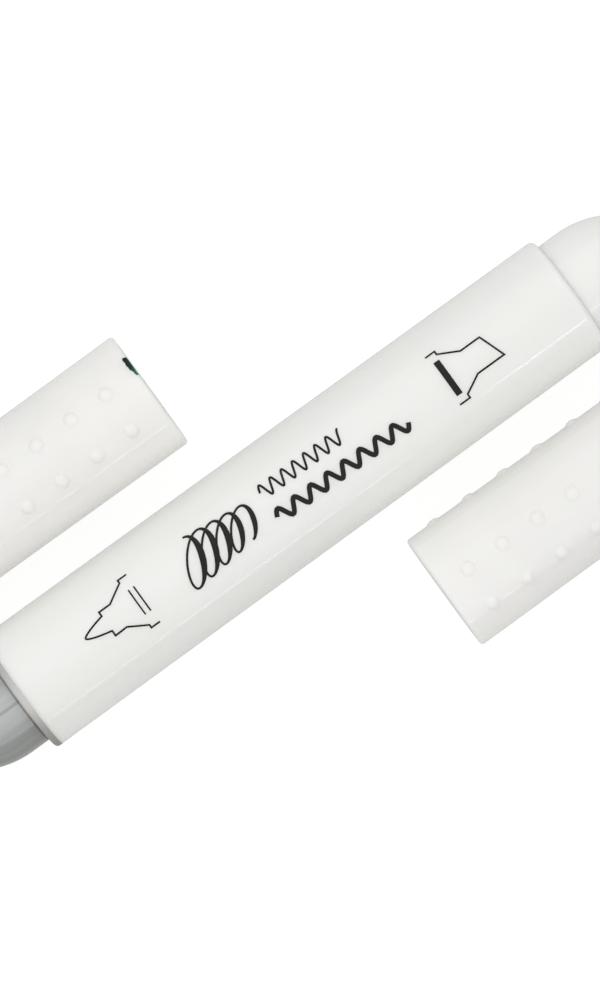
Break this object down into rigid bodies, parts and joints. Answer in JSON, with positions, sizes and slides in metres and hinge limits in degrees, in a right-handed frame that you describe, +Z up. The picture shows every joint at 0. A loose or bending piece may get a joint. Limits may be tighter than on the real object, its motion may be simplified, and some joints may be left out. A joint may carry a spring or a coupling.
{
  "type": "felt tip marker",
  "caption": "Round double-ended felt tip marker with a fine bullet tip and a broad chisel tip, both caps off and lying beside the barrel.",
  "frame": {"origin": "on the resting surface, under the middle of the barrel and of the whole laid-out set", "axes": "+X along the marker towards the broad tip, +Y towards the fine tip's cap, +Z up from the surface it lies on"},
  "size_m": [0.1112, 0.0515, 0.0147],
  "materials": {
    "white_barrel_plastic": "smooth moulded, soft gloss",
    "white_holder_plastic": "smooth moulded, gloss",
    "white_cap_plastic": "smooth moulded, soft gloss",
    "grey_plastic": "smooth moulded, gloss",
    "soft_liner_plastic": "soft waxy",
    "green_plastic": "smooth moulded",
    "inked_felt": "bonded fibre, damp with ink",
    "inked_fibre": "loose fibre, soaked with ink",
    "clear_film": "thin clear film"
  },
  "bodies": {
    "marker": {"barrel": "white_barrel_plastic", "fine_tip_holder": "grey_plastic", "broad_tip_holder": "white_holder_plastic", "fine_nib": "inked_felt", "broad_nib": "inked_felt", "ink_core": "inked_fibre", "ink_core_film": "clear_film"},
    "fine_cap": {"fine_cap_shell": "white_cap_plastic", "fine_cap_liner": "soft_liner_plastic", "fine_cap_end_plug": "green_plastic"},
    "broad_cap": {"broad_cap_shell": "white_cap_plastic", "broad_cap_liner": "soft_liner_plastic", "broad_cap_end_plug": "green_plastic"}
  },
  "joints": [
    {"name": "fine_cap_slide", "type": "slide", "parent": "marker", "child": "fine_cap", "axis": [-1, 0, 0], "range_m": [0, 0.05145]},
    {"name": "broad_cap_slide", "type": "slide", "parent": "marker", "child": "broad_cap", "axis": [1, 0, 0], "range_m": [0, 0.05065]}
  ]
}
